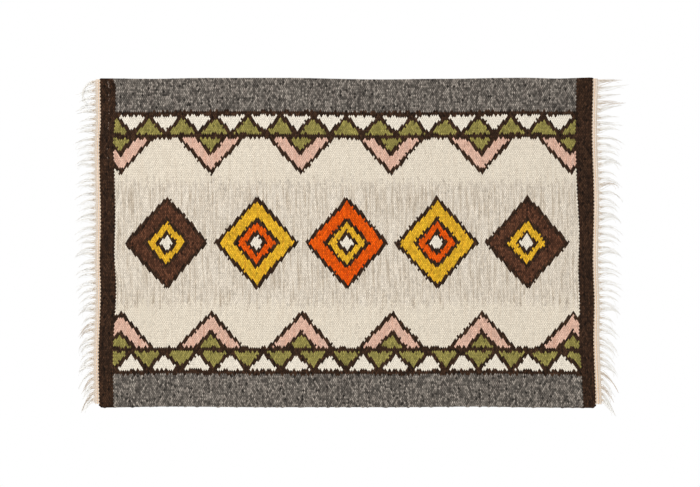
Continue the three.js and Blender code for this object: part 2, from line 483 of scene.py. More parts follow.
@dataclass(frozen=True)
class WoolWeave:
    """Weft-faced plain weave in dyed wool, beaten down until the warp is hidden.

    To the eye it is rows of small upright grains, one on each warp, set half a grain apart from row to row.
    So upright colour edges have small even teeth, level ones a ragged comb, and the yarn's own unevenness
    stands as upright streaks. The surface is matt, with hardly any sheen from loose fibres.
    """

    cloth: ClothShape
    grain_mm: float = 4.6
    grain_wobble_mm: tuple[float, float] = (1.5, 2.4)
    wobble_size_mm: float = 5.0
    comb_warps: float = 1.2
    # Dark bands at both ends
    end_band_mm: float = 32
    # Bands along the top and bottom edges: where each ends, from the edge inwards
    bands_mm: tuple[tuple[float, Yarn], ...] = (
        (70, Yarn.GREY), (80, Yarn.DARK), (118, Yarn.WHITE), (128, Yarn.DARK),
    )
    saw_start_mm: float = 80
    saw_depth_mm: float = 38
    saw_pitch_mm: float = 70.2
    saw_line_mm: float = 6.5
    # The row of diamonds in the field: the yarns of each ring by how far the diamond is from the middle
    diamond_pitch_mm: float = 192
    diamond_half_mm: tuple[float, float] = (90, 100)
    diamond_rings: tuple[tuple[float, tuple[Yarn, Yarn, Yarn]], ...] = (
        (1.0, (Yarn.DARK, Yarn.DARK, Yarn.DARK)),
        (0.885, (Yarn.ORANGE, Yarn.MUSTARD, Yarn.RUST)),
        (0.56, (Yarn.DARK, Yarn.DARK, Yarn.DARK)),
        (0.45, (Yarn.MUSTARD, Yarn.ORANGE, Yarn.MUSTARD)),
        (0.27, (Yarn.DARK, Yarn.DARK, Yarn.DARK)),
        (0.16, (Yarn.WHITE, Yarn.WHITE, Yarn.WHITE)),
    )
    # The half diamonds between them, from the edge bands inwards
    half_start_mm: float = 128
    half_half_mm: tuple[float, float] = (72, 78)
    half_rings: tuple[tuple[float, Yarn], ...] = (
        (1.0, Yarn.DARK), (0.85, Yarn.PINK), (0.48, Yarn.DARK), (0.33, Yarn.OLIVE),
    )
    # The streaky undyed zone along the middle of the field, and how fast its edge changes from pick to pick
    abrash_half_mm: float = 130
    abrash_ragged_mm: float = 50
    abrash_step: float = 0.31
    # Streaks and fibres: their width and length, and the streaks that mix a yarn's two dye lots
    streak_mm: tuple[float, float] = (4.0, 75)
    fibre_mm: tuple[float, float] = (2.0, 9)
    tone_range: tuple[float, float] = (0.4, 0.75)
    # The share of grains with coarse dark hairs, and how much darker they are in shares of the yarn's stops
    hairy_share: float = 0.045
    hairy_depth: float = 1.7
    # Painted shade where light is lost between grains, how much more of it in the uneven dark yarns, and
    # where a rim starts
    painted_shade_depth: tuple[float, float] = (0.18, 0.75)
    rim: float = 0.5
    # A line in the left end band where the picks part: its place and half width, the size of the parted
    # patches, how far down they thin out, the least noise and grain number that part, and the warp's tone
    parting_mm: tuple[float, float] = (17.5, 1.1)
    parting_patch_mm: float = 22
    parting_fade_mm: float = 900
    parting_least: tuple[float, float] = (0.44, 0.6)
    bare_warp: str = "#86796f"

    @property
    def pitch_mm(self) -> float:
        """The spacing of the warps."""
        return self.cloth.warp_pitch / MM

    def lattice(self, g: NodeGraph) -> Lattice:
        """Finds the grain of weft that a point lies in.

        Grains are lozenges, two picks wide and two warps tall, in two sets that fill the cloth between them.
        The triangle waves of the picks and of the warps add up to less than 1 in the even set.

        Args:
            g: the material's nodes.

        Returns:
            The grain and the point's place in it.
        """
        place = g.add("VectorMath:MULTIPLY", g.add("UVMap", uv_map="weave"), (1 / MM, 1 / MM, 0))
        noise = g.add("TexNoise", place, None, 1 / self.wobble_size_mm, 2.0, 0.5, output="Color")
        centred = g.add("VectorMath:SUBTRACT", noise, (0.5, 0.5, 0.5))
        moved = g.add("VectorMath:MULTIPLY_ADD", centred, (*self.grain_wobble_mm, 0), place)
        along, level = (g.add("SeparateXYZ", moved, output=axis) for axis in "XY")
        picks = g.add("Math:MULTIPLY", along, 2 / self.grain_mm)
        rows = g.add("Math:MULTIPLY_ADD", level, 1 / self.pitch_mm, -0.5)
        away = g.add("Math:ADD", *(g.add("Math:PINGPONG", count, 1.0) for count in (picks, rows)))
        odd = g.add("Math:GREATER_THAN", away, 1.0)
        pick, row = (
            g.add("Math:ADD", g.add("Math:SNAP", g.add("Math:SUBTRACT", past, odd), 2.0), odd)
            for past in (g.add("Math:ADD", count, 1.0) for count in (picks, rows))
        )
        # Each pick turns back a little further or less far than its neighbour at a level edge
        comb = g.add("TexWhiteNoise", None, pick, noise_dimensions="1D")
        turned = g.add("Math:MULTIPLY_ADD", g.add("Math:SUBTRACT", comb, 0.5), self.comb_warps, row)
        return Lattice(
            across=g.add("Math:MULTIPLY", pick, self.grain_mm / 2),
            down=g.add("Math:MULTIPLY_ADD", turned, self.pitch_mm, self.pitch_mm / 2),
            along=along, level=level, pick=pick, row=row,
            edge=g.add("Math:PINGPONG", away, 1.0),
        )

    def lozenge(self, g: NodeGraph, beside: Socket, level: Socket, half: tuple[float, float]) -> Socket:
        """How far out in a lozenge a point is: beside / half width + level / half height."""
        return g.add("Math:MULTIPLY_ADD", beside, 1 / half[0], g.add("Math:DIVIDE", level, half[1]))

    def chart(self, g: NodeGraph, at: Lattice) -> Socket:
        """Gives each grain the number of its yarn, from the field outwards to the bands.

        Each mix lays one yarn over the chart where its factor is 1.

        Args:
            g: the material's nodes.
            at: the grains.

        Returns:
            A socket with the yarn's number.
        """
        width, height = self.cloth.width / MM, self.cloth.height / MM
        from_middle = g.add("Math:ABSOLUTE", g.add("Math:SUBTRACT", at.down, height / 2))
        edge = g.add("Math:SUBTRACT", height / 2, from_middle)
        aside = g.add("Math:SUBTRACT", at.across, width / 2)

        # The field: cream, with the streaky zone along its middle that each pick ends elsewhere
        step = g.add("Math:MULTIPLY", at.pick, self.abrash_step)
        ragged = g.add("TexNoise", None, step, 1.0, 4.0, 0.85, noise_dimensions="1D")
        least = self.abrash_half_mm - self.abrash_ragged_mm
        reach = g.add("Math:MULTIPLY_ADD", ragged, 2 * self.abrash_ragged_mm, least)
        abrash = g.add("Math:LESS_THAN", from_middle, reach)
        chart = g.add("Mix", abrash, None, Yarn.CREAM, Yarn.GREIGE)

        # Diamonds in a row
        cell = g.add("Math:DIVIDE", aside, self.diamond_pitch_mm)
        number = g.add("Math:ABSOLUTE", g.add("Math:ROUND", cell))
        beside = g.add("Math:MULTIPLY", g.add("Math:PINGPONG", cell, 0.5), self.diamond_pitch_mm)
        size = self.lozenge(g, beside, from_middle, self.diamond_half_mm)
        here = [g.add("Math:COMPARE", number, float(place), 0.1) for place in range(3)]
        for ring, yarns in self.diamond_rings:
            inside = g.add("Math:LESS_THAN", size, ring)
            for place, yarn in zip(here, yarns):
                chart = g.add("Mix", g.add("Math:MULTIPLY", place, inside), None, chart, yarn)

        # Half diamonds stand between them
        between = g.add("Math:SUBTRACT", self.diamond_pitch_mm / 2, beside)
        above = g.add("Math:SUBTRACT", edge, self.half_start_mm)
        size = self.lozenge(g, between, above, self.half_half_mm)
        for ring, yarn in self.half_rings:
            chart = g.add("Mix", g.add("Math:LESS_THAN", size, ring), None, chart, yarn)
        return self.bands(g, chart, edge, aside)

    def bands(self, g: NodeGraph, chart: Socket, edge: Socket, aside: Socket) -> Socket:
        """Lays the edge bands with their zigzag and the end bands over the field.

        Args:
            g: the material's nodes.
            chart: the field's yarn numbers.
            edge: distance from the nearest long edge.
            aside: distance from the middle of the width.

        Returns:
            A socket with the yarn's number.
        """
        for end, yarn in reversed(self.bands_mm):
            in_band = g.add("Math:LESS_THAN", edge, end)
            chart = g.add("Mix", in_band, None, chart, yarn)
            if yarn is not Yarn.WHITE:
                continue
            wave = g.add("Math:PINGPONG", aside, self.saw_pitch_mm / 2)
            slope = -2 * self.saw_depth_mm / self.saw_pitch_mm
            past = g.add("Math:MULTIPLY_ADD", wave, slope, g.add("Math:SUBTRACT", edge, self.saw_start_mm))
            for line, colour in ((-self.saw_line_mm, Yarn.DARK), (self.saw_line_mm, Yarn.OLIVE)):
                beyond = g.add("Math:GREATER_THAN", past, line)
                chart = g.add("Mix", g.add("Math:MULTIPLY", beyond, in_band), None, chart, colour)
        near_end = self.cloth.width / MM / 2 - self.end_band_mm
        ends = g.add("Math:GREATER_THAN", g.add("Math:ABSOLUTE", aside), near_end)
        return g.add("Mix", ends, None, chart, Yarn.DARK)

    def colour(self, g: NodeGraph, at: Lattice, chart: Socket) -> Socket:
        """Mixes each yarn's two dye lots by upright streaks and changes its tone from grain to grain.

        A grain's tone is 2 to the power of its yarn's stops times its unevenness, which is twice what its
        number and its fibre add up to, less 2. A ramp holds values up to 1, so it gives half the stops, and
        the power is one of 4. Towards each grain's rim the colour is darkened as painted shade.

        Args:
            g: the material's nodes.
            at: the grains.
            chart: the yarn numbers.

        Returns:
            A colour socket.
        """
        count = len(DYES)
        place = g.add("Math:MULTIPLY_ADD", chart, 1 / count, 0.5 / count)
        light, deep, half_stops = (
            g.add("ValToRGB", place, stops=[(yarn / count, value) for yarn, value in zip(DYES, values)])
            for values in (
                [linear(dye.light) for dye in DYES.values()],
                [linear(dye.deep) for dye in DYES.values()],
                [(dye.stops / 2,) * 3 + (1,) for dye in DYES.values()],
            )
        )
        # Streaks and fibres lie along the weft; grains differ one by one
        point = g.add("CombineXYZ", at.along, at.level)
        drawn_out = (
            g.add("VectorMath:MULTIPLY", point, (1 / wide, 1 / long, 0))
            for wide, long in (self.streak_mm, self.fibre_mm)
        )
        streak, fibre = (
            g.add("TexNoise", place, None, 1.0, 2.0, 0.7, noise_dimensions="2D") for place in drawn_out
        )
        tone_mix = g.add("MapRange", streak, *self.tone_range, 0.0, 1.0)
        dyed = g.add("Mix", tone_mix, named={6: light, 7: deep}, **COLOUR_MIX)
        speck, hairs = (
            g.add("TexWhiteNoise", g.add("CombineXYZ", *numbers), noise_dimensions="2D")
            for numbers in ((at.pick, at.row), (at.row, at.pick))
        )
        uneven = g.add("Math:MULTIPLY_ADD", g.add("Math:ADD", speck, fibre), 2.0, -2.0)
        hairy = g.add("Math:LESS_THAN", hairs, self.hairy_share)
        uneven = g.add("Math:MULTIPLY_ADD", hairy, -self.hairy_depth, uneven)
        gain = g.add("Math:POWER", 4.0, g.add("Math:MULTIPLY", uneven, half_stops))
        # Painted shade towards each grain's rim, where light goes lost; pale yarns throw some of it back
        least, more = self.painted_shade_depth
        lost = g.add("Math:MULTIPLY_ADD", half_stops, more, least)
        painted_shade = g.add("MapRange", at.edge, self.rim, 1.0, 1.0, g.add("Math:SUBTRACT", 1.0, lost))
        toned = g.add("VectorMath:MULTIPLY", dyed, g.add("Math:MULTIPLY", gain, painted_shade))

        # The pale warp shows in dots where the picks part
        patch_place = g.add("Math:MULTIPLY", at.level, 1 / self.parting_patch_mm)
        patch = g.add("TexNoise", None, patch_place, 1.0, 5.0, 0.8, noise_dimensions="1D")
        least_patch, least_speck = self.parting_least
        shows = g.add("Math:COMPARE", at.along, *self.parting_mm)
        for value, least in (
            (patch, g.add("Math:MULTIPLY_ADD", at.level, 1 / self.parting_fade_mm, least_patch)),
            (speck, least_speck), (at.edge, self.rim),
        ):
            shows = g.add("Math:MULTIPLY", shows, g.add("Math:GREATER_THAN", value, least))
        return g.add("Mix", shows, named={6: toned, 7: linear(self.bare_warp)}, **COLOUR_MIX)

    def material(self) -> bpy.types.Material:
        """Makes the finish.

        Returns:
            The material.
        """
        g = NodeGraph(bpy.data.materials.new("weft_faced_wool"))
        at = self.lattice(g)
        colour = self.colour(g, at, self.chart(g, at))
        # A grain is a round lump: 1 - edge^2
        swell = g.add("Math:SUBTRACT", 1.0, g.add("Math:POWER", at.edge, 2.0))
        bump = g.add("Bump", named={"Height": swell, "Strength": 0.8, "Distance": 0.7 * MM})
        shader = g.add("BsdfPrincipled", named={
            "Base Color": colour, "Normal": bump, "Roughness": 0.95, "Specular IOR Level": 0.12,
            "Sheen Weight": 0.02, "Sheen Roughness": 0.5,
        })
        g.add("OutputMaterial", shader)
        return g.owner


@dataclass(frozen=True)
class CottonYarn:
    """Undyed cotton spun and plied, as warp or as twine.

    To the eye it is a warm off-white, matt, with the fine slanting lines of its plies, with painted shade in
    the grooves between them. Its second shade is on yarn that is marked for it on the map, and on a warp end
    from its root, where it leaves the heading.
    """

    name: str
    light: str
    deep: str
    second: str
    root_reach: tuple[float, float] | None = None
    lay: float = 2.4 * MM
    plies: int = 3
    uneven_size: float = 9 * MM
    # How far painted shade in the grooves between the plies moves the colour towards the deep tone
    groove_shade: float = 0.16
    tone_range: tuple[float, float] = (0.25, 0.75)
    second_share: float = 0.85

    def material(self) -> bpy.types.Material:
        """Makes the finish: plies are a sine of the way along the lay and round the yarn.

        Returns:
            The material.
        """
        g = NodeGraph(bpy.data.materials.new(self.name))
        yarn = g.add("UVMap", uv_map="yarn")
        along, turn = (g.add("SeparateXYZ", yarn, output=axis) for axis in "XY")
        way = g.add("Math:MULTIPLY", along, 2 * math.pi / self.lay)
        wave = g.add("Math:SINE", g.add("Math:MULTIPLY_ADD", turn, 2 * math.pi * self.plies, way))
        uneven = g.add("TexNoise", g.add("TexCoord", output="Object"), None, 1 / self.uneven_size, 3.0, 0.6)
        # Painted shade in the grooves between the plies, on top of the yarn's own uneven tone
        groove_shade_and_unevenness = g.add("Math:MULTIPLY_ADD", wave, self.groove_shade, uneven)
        tone_mix = g.add("MapRange", groove_shade_and_unevenness, *self.tone_range, 0.0, 1.0)
        lots_and_groove_shade = g.add("Mix", tone_mix, named={6: linear(self.deep), 7: linear(self.light)}, **COLOUR_MIX)
        marked = g.add("Math:GREATER_THAN", turn, SHADE_TURN - 0.5)
        share = g.add("Math:MULTIPLY", marked, self.second_share)
        if self.root_reach:
            share = g.add("Math:MAXIMUM", g.add("MapRange", along, *self.root_reach, 1.0, 0.0), share)
        colour = g.add("Mix", share, named={6: lots_and_groove_shade, 7: linear(self.second)}, **COLOUR_MIX)
        bump = g.add("Bump", named={"Height": wave, "Strength": 0.5, "Distance": 0.15 * MM})
        shader = g.add("BsdfPrincipled", named={
            "Base Color": colour, "Normal": bump, "Roughness": 0.85, "Specular IOR Level": 0.2,
            "Sheen Weight": 0.05,
        })
        g.add("OutputMaterial", shader)
        return g.owner


@dataclass
class WovenPanel:
    """The wool cloth: one closed sheet with a rib over each warp, toothed ends and corded selvedges."""

    cloth: ClothShape
    weave: WoolWeave
    samples_per_warp: int = 4
    columns: int = 50
    edge_columns_mm: tuple[float, ...] = (0.0, 0.7, 2.0, 5.0, 14.0, 32.0)
    rib_depth: float = 0.45 * MM
    rib_power: float = 0.6
    edge_round: float = 1.6 * MM
    selvedge_least: float = 0.4
    end_least: float = 0.8
    tooth: float = 1.1 * MM
    tooth_reach: float = 7 * MM
    corner_rounds: tuple[float, float] = (3 * MM, 5.5 * MM)
    corner_reach: float = 30 * MM
    band_reach: float = 110 * MM
    cord_radius: float = 1.6 * MM
    cord_lump: float = 0.16
    # Depths and lengths of the waves by which a selvedge wanders, how far their phase wanders and over how
    # many lengths, and the share of it along the top, which hanging draws straight, and the bottom
    cord_waves: tuple[tuple[float, float], ...] = (
        (0.7 * MM, 4.6 * MM), (0.6 * MM, 2.6 * MM), (0.4 * MM, 1.6 * MM),
    )
    phase_wander: tuple[float, float] = (2.5, 5.7)
    sways: tuple[float, float] = (0.3, 1.0)
    cord_sides: int = 8
    cord_samples_per_pick: int = 3

    def places(self) -> tuple[np.ndarray, np.ndarray]:
        """The grid's lengths across and down the flat cloth.

        Returns:
            Two arrays of rows by columns, in metres.
        """
        near = np.array(self.edge_columns_mm) * MM
        middle = np.linspace(near[-1], self.cloth.width - near[-1], self.columns)[1:-1]
        across = np.concatenate([near, middle, self.cloth.width - near[::-1]])
        down = np.linspace(0, self.cloth.height, self.cloth.warps * self.samples_per_warp + 1)
        return np.meshgrid(across, down)

    def sideways(self, across: np.ndarray, down: np.ndarray) -> np.ndarray:
        """How far points lie outwards of their even share of the width.

        The ends step out and in by a sine over two warps, the corners are quarter circles, and the picks
        near the ends bow so that the end bands have their uneven width.

        Args:
            across: lengths across the flat cloth.
            down: lengths down it.

        Returns:
            Offsets along X.
        """
        from_end = np.minimum(across, self.cloth.width - across)
        teeth = self.tooth * np.sin(math.pi * down / self.cloth.warp_pitch)
        teeth = teeth * np.clip(1 - from_end / self.tooth_reach, 0, 1)
        corner = 0.0
        for place, radius in zip((down, self.cloth.height - down), self.corner_rounds):
            corner = corner + np.sqrt(radius**2 - np.clip(radius - place, 0, None) ** 2) - radius
        corner = corner * np.clip(1 - from_end / self.corner_reach, 0, 1)
        share = down / self.cloth.height
        left = across < self.cloth.width / 2
        widths = np.where(left, *(END_BANDS[side].along("width", share) for side in Side)) * MM
        band = self.weave.end_band_mm * MM
        bow = (band - widths) * np.interp(from_end, [0, band, self.band_reach], [0, 1, 0])
        return np.where(left, -1, 1) * (teeth + corner + bow)

    def half_thickness(self, across: np.ndarray, down: np.ndarray) -> np.ndarray:
        """Half the thickness: a power of |sin| across each rib, on a quarter circle to each edge.

        Args:
            across: lengths across the flat cloth.
            down: lengths down it.

        Returns:
            Lengths of the same shape.
        """
        rib = abs(np.sin(math.pi * down / self.cloth.warp_pitch)) ** self.rib_power
        half = self.cloth.thickness / 2 - self.rib_depth * (1 - rib)
        for place, size, least in (
            (across, self.cloth.width, self.end_least), (down, self.cloth.height, self.selvedge_least),
        ):
            near = np.clip(np.minimum(place, size - place) / self.edge_round, 0, 1)
            half = half * np.maximum(np.sqrt(1 - (1 - near) ** 2), least)
        return half

    def middle(self, across: np.ndarray, down: np.ndarray) -> np.ndarray:
        """Points halfway through the thickness of the cloth.

        Args:
            across: lengths across the flat cloth.
            down: lengths down it.

        Returns:
            Points, with a last axis of x, y and z.
        """
        points = self.cloth.back(across / self.cloth.width, down / self.cloth.height)
        points[..., 0] += self.sideways(across, down)
        points[..., 1] -= self.cloth.thickness / 2
        return points

    def build(self) -> bpy.types.Object:
        """Makes the sheet: the front and back stand half the thickness from the middle, joined all round.

        Returns:
            The cloth.
        """
        across, down = self.places()
        half = self.half_thickness(across, down)[..., None] * FORWARD
        middle = self.middle(across, down)
        layers = np.stack([middle + half, middle - half])
        number = np.arange(2 * across.size).reshape(2, *across.shape)

        def strip(one: np.ndarray, two: np.ndarray) -> np.ndarray:
            """Four-sided faces between two lines of points."""
            return np.stack([one[:-1], two[:-1], two[1:], one[1:]], axis=-1)

        def sheet(grid: np.ndarray) -> np.ndarray:
            """Four-sided faces over a grid of points."""
            corners = [grid[:-1, :-1], grid[1:, :-1], grid[1:, 1:], grid[:-1, 1:]]
            return np.stack(corners, axis=-1).reshape(-1, 4)

        quads = np.concatenate([
            sheet(number[0]), sheet(number[1])[:, ::-1],
            strip(number[0, 0], number[1, 0])[:, ::-1], strip(number[0, -1], number[1, -1]),
            strip(number[0, :, 0], number[1, :, 0]), strip(number[0, :, -1], number[1, :, -1])[:, ::-1],
        ])
        weave = np.concatenate([np.stack([across, down], axis=-1).reshape(-1, 2)] * 2)
        # The front and the back show the same colours, so they share one layout
        bake = weave / (self.cloth.width, self.cloth.height)
        return mesh_piece("woven_cloth", layers, quads, {"weave": weave[quads], "OFBake": bake[quads]})

    def selvedge(self, name: str, level: float, sway: float) -> bpy.types.Object:
        """One long edge, where every pick turns round the last warp: a cord lumped once a pick.

        Its radius is r * (1 - lump + lump * |sin|) of the way along the picks. It wanders by a few sines
        whose own phase wanders, so that the edge is uneven.

        Args:
            name: the piece's name.
            level: the cord's length down the cloth.
            sway: the share of its wandering that it has.

        Returns:
            The cord.
        """
        pick = self.weave.grain_mm * MM / 2
        steps = round(self.cloth.width / pick) * self.cord_samples_per_pick
        across = np.linspace(self.cord_radius, self.cloth.width - self.cord_radius, steps)
        path = self.middle(across, np.full(steps, level))
        wander, lengths = self.phase_wander
        for depth, wave in self.cord_waves:
            phase = level / wave + wander * np.sin(across / (lengths * wave))
            path[:, 2] += sway * depth * np.sin(across / wave + phase)
        swell = 1 - self.cord_lump * (1 - abs(np.sin(math.pi * across / pick)))
        radii = np.repeat(self.cord_radius * swell[:, None], self.cord_sides, axis=1)
        cord = swept_tubes(path[None], radii[None], FORWARD)
        weave = cord.corners.copy()
        weave[..., 1] = level
        return mesh_piece(name, cord.points, cord.quads, {"weave": weave})

    def selvedges(self) -> list[bpy.types.Object]:
        """Makes the cords along the top and the bottom edge.

        Returns:
            The two cords.
        """
        levels = (self.cord_radius, self.cloth.height - self.cord_radius)
        names = ("selvedge_top", "selvedge_bottom")
        return [self.selvedge(*row) for row in zip(names, levels, self.sways)]

    def dress(self, pieces: list[bpy.types.Object]) -> None:
        """Gives the cloth and its selvedges their wool.

        Args:
            pieces: the cloth and its selvedges.
        """
        wool = self.weave.material()
        for piece in pieces:
            piece.data.materials.append(wool)


class Locks(NamedTuple):
    """A value or point for each lock: angles in degrees above the horizontal, lengths in metres."""

    leaves: np.ndarray
    ends: np.ndarray
    length: np.ndarray
    forward: np.ndarray
    knot: np.ndarray


@dataclass
class FringedEnd:
    """One end of the tapestry: the twined heading, the warp ends and their knots."""

    side: Side
    cloth: ClothShape
    part_gap: float = 0.3 * MM
    root_out: float = 9 * MM
    heading_thickness: float = 2.5 * MM
    heading_ends: tuple[float, float] = (2 * MM, 8 * MM)
    heading_tuck: float = 2 * MM
    cords: int = 3
    inner_cord_depth: float = 0.72
    cord_sides: int = 8
    cord_samples_per_warp: int = 4
    cord_twist: float = 0.16
    locks: int = 47
    lock_stray: float = 0.35
    first_drop: float = 4 * MM
    last_rise: float = 10 * MM
    angle_stray: float = 14
    length_stray: float = 0.4
    forward_stray: float = 2.5 * MM
    strand_depth: float = 2.3 * MM
    # A knot's radius, how far its middle is from the root, its half length, and the lump in it: its share
    # of the radius, where its ends are closed, its rings, and the depth and slant of its two lobes
    knot_radius: float = 1.9 * MM
    knot_middle: float = 6.5 * MM
    knot_half: float = 2.6 * MM
    lump_share: float = 0.74
    lump_close: float = 0.96
    lump_rings: int = 9
    lump_lobes: tuple[float, float] = (0.12, 3)
    # The yarn wound round it: turns, steps, share of the knot's length and of an end's radius
    knot_turns: float = 1.6
    coil_steps: int = 26
    coil_reach: float = 1.1
    coil_swell: float = 1.15
    ends_per_lock: int = 14
    root_tuck: float = 1.26 * MM
    bend_stray: float = 1.4
    end_radius: float = 0.42 * MM
    end_sides: int = 6
    root_steps: int = 5
    free_steps: int = 18
    bundle_half: tuple[float, float] = (2.6 * MM, 1.5 * MM)
    bundle_turns: float = 0.4
    bundle_stray: float = 0.7
    slipped: float = 1.15
    # One end in so many has come loose from its lock: how far at its tip, and as which power of the way
    wild_every: int = 7
    wild_first: int = 2
    wild: float = 9 * MM
    wild_power: float = 2.5
    end_lengths: tuple[float, float] = (0.26, 1.06)
    end_taper: float = 0.55
    crimp: float = 0.25 * MM
    crimp_length: float = 7.4 * MM

    def heading(self) -> Surface:
        """The heading: cords of two plies along the end of the cloth, the first under its teeth.

        A cord's section is an ellipse whose radius swells by twist * cos(2 turn - 2 pi * way / lay), with
        one ply over each warp.

        Returns:
            The cords' surface.
        """
        start, stop = self.heading_ends[0], self.cloth.height - self.heading_ends[1]
        down = np.linspace(start, stop, self.cloth.warps * self.cord_samples_per_warp)
        cord = np.arange(self.cords)[:, None, None]
        width = HEADINGS[self.side].along("width", down / self.cloth.height) * MM + self.heading_tuck
        wide = width[:, None] / self.cords / 2
        paths = np.repeat(self.cloth.end_line(self.side, down)[None], self.cords, axis=0)
        out = self.part_gap - self.heading_tuck + wide * (2 * cord + 1)
        paths[..., 0] += self.side.value * out[..., 0]
        paths[..., 1] -= self.cloth.thickness / 2
        turn = np.arange(self.cord_sides) / self.cord_sides * 2 * math.pi
        deep = self.heading_thickness / 2 * np.where(cord == 0, self.inner_cord_depth, 1)
        ellipse = wide * deep / np.hypot(deep * np.cos(turn), wide * np.sin(turn))
        lean = np.where(cord % 2, -1, 1)
        phase = 2 * turn - lean * 2 * math.pi * down[:, None] / self.cloth.warp_pitch
        radii = ellipse * (1 - self.cord_twist + self.cord_twist * np.cos(phase))
        outermost = np.arange(self.cords) == self.cords - 1
        return swept_tubes(paths, radii, FORWARD, SHADE_TURN * outermost)

    def directions(self, degrees: np.ndarray) -> np.ndarray:
        """Outward directions in the plane of the cloth, at angles above the horizontal."""
        angle = np.radians(degrees)
        return np.stack([self.side.value * np.cos(angle), np.zeros_like(angle), np.sin(angle)], axis=-1)

    def level(self, share: np.ndarray) -> np.ndarray:
        """Lengths down the cloth at shares of the fringe's height."""
        return lerp(self.first_drop, self.cloth.height - self.last_rise, share)

    def lock_places(self) -> Locks:
        """Works out each lock's knot, angles, length and how far it comes forward.

        Returns:
            The locks, from the top.
        """
        index = np.arange(self.locks)
        share = (index + 0.5 + self.lock_stray * stray(index, Spread.LOCK_PLACE)) / self.locks
        table = LOCKS[self.side]
        down = self.level(share) - table.along("rise", share) * MM
        root = self.cloth.end_line(self.side, down)
        root[:, 0] += self.side.value * (self.part_gap + self.root_out)
        root[:, 1] -= self.knot_radius
        leaves = table.along("leaves", share) + self.angle_stray * stray(index, Spread.LEAVES)
        forward = table.along("forward", share) * MM + self.strand_depth
        length = table.along("length", share) * MM
        return Locks(
            leaves=leaves,
            ends=table.along("ends", share) + self.angle_stray * stray(index, Spread.ENDS),
            length=length * (1 + self.length_stray * stray(index, Spread.LENGTH)),
            forward=forward + self.forward_stray * (0.5 + stray(index, Spread.FORWARD)),
            knot=root + self.directions(leaves / 2) * self.knot_middle,
        )

    def warp_roots(self) -> np.ndarray:
        """Where the ends come out of the heading, each at its own warp.

        Returns:
            A point for each end, from the top.
        """
        count = self.locks * self.ends_per_lock
        root = self.cloth.end_line(self.side, self.level((np.arange(count) + 0.5) / count))
        root[:, 0] += self.side.value * (self.part_gap + self.root_out - self.root_tuck)
        root[:, 1] -= self.cloth.thickness / 2
        return root

    def warp_ends(self, locks: Locks) -> Surface:
        """The warp ends: each comes out of the heading, runs into its lock's knot and hangs beyond it.

        Beyond the knot a lock turns from the angle it leaves at to the angle it ends at, as a power of the
        way along. Its ends fill an oval section like the seeds of a sunflower, the square root of their
        number out and a golden angle on. The section opens beyond the knot, closes to the tips and turns a
        little. Some ends have slipped the knot: they pass it on the side of their own warp and join their
        lock further out.

        Args:
            locks: the locks.

        Returns:
            The surface of all of them.
        """
        lock = np.repeat(np.arange(self.locks), self.ends_per_lock)
        place = np.tile(np.arange(self.ends_per_lock), self.locks)
        number = np.arange(len(lock))
        root = self.warp_roots()
        slip = np.zeros_like(root)
        slip[:, 2] = (root - locks.knot[lock])[:, 2] * self.slipped * (stray(number, Spread.SLIP) + 0.5)
        knot = locks.knot[lock] + slip
        own = lerp(*self.end_lengths, stray(number, Spread.END_LENGTH) + 0.5)[:, None]
        way = own * np.arange(1, self.free_steps + 1) / self.free_steps
        bend = 2 ** (self.bend_stray * stray(lock, Spread.BEND))[:, None]
        angles = lerp(locks.leaves[lock][:, None], locks.ends[lock][:, None], way**bend)
        stride = own / self.free_steps
        steps = self.directions(angles) * (locks.length[lock][:, None] * stride)[..., None]
        steps += FORWARD * (locks.forward[lock][:, None] * stride)[..., None]
        back_in = slip[:, None] * eased(np.clip(way, 0, 1))[..., None]
        free = knot[:, None] + np.cumsum(steps, axis=1) - back_in

        out = np.sqrt((place + 0.5) / self.ends_per_lock)[:, None] * np.interp(way, *SECTION)
        turn = place * GOLDEN_ANGLE + 2 * math.pi * stray(lock, Spread.TURN)
        turn = turn[:, None] + 2 * math.pi * self.bundle_turns * way
        size = 1 + self.bundle_stray * stray(lock, Spread.BUNDLE)[:, None]
        broad, deep = (half * size for half in self.bundle_half)
        is_wild = number % self.wild_every == self.wild_first
        loose = np.where(is_wild, np.sign(stray(number, Spread.WILD)), 0)[:, None]
        length = locks.length[lock][:, None] * way
        wave = np.sin(2 * math.pi * (length / self.crimp_length + stray(number, Spread.CRIMP)[:, None]))
        above = broad * out * np.cos(turn) + self.crimp * wave + self.wild * loose * way**self.wild_power
        free += above[..., None] * self.directions(angles + 90)
        free += (deep * out * np.sin(turn))[..., None] * FORWARD
        to_knot = np.linspace(0, 1, self.root_steps, endpoint=False)[None, :, None]
        curve = np.concatenate([to_knot, eased(to_knot), eased(to_knot)], axis=-1)
        paths = np.concatenate([lerp(root[:, None], knot[:, None], curve), free], axis=1)
        thin = np.linspace(1, self.end_taper, paths.shape[1])[None, :, None]
        radii = np.broadcast_to(self.end_radius * thin, paths.shape[:2] + (self.end_sides,))
        return swept_tubes(paths, radii, FORWARD, SHADE_TURN * np.isin(lock, TAN_LOCKS[self.side]))

    def knots(self, locks: Locks) -> Surface:
        """The overhand knots: a lump, and a turn and a half of yarn wound round it.

        The lump's radius is the square root of 1 - q^2 along it, and the winding is a helix.

        Args:
            locks: the locks.

        Returns:
            The surface of all of them.
        """
        axis = self.directions(locks.leaves / 2)
        q = np.linspace(-self.lump_close, self.lump_close, self.lump_rings)
        lump = locks.knot[:, None] + axis[:, None] * (q * self.knot_half)[:, None]
        turn = np.arange(self.cord_sides) / self.cord_sides * 2 * math.pi
        lobe, slant = self.lump_lobes
        swell = np.sqrt(1 - q**2)[:, None] * (1 + lobe * np.cos(2 * turn + slant * q[:, None]))
        radii = np.broadcast_to(self.lump_share * self.knot_radius * swell, (self.locks, *swell.shape))
        core = swept_tubes(lump, radii, FORWARD)

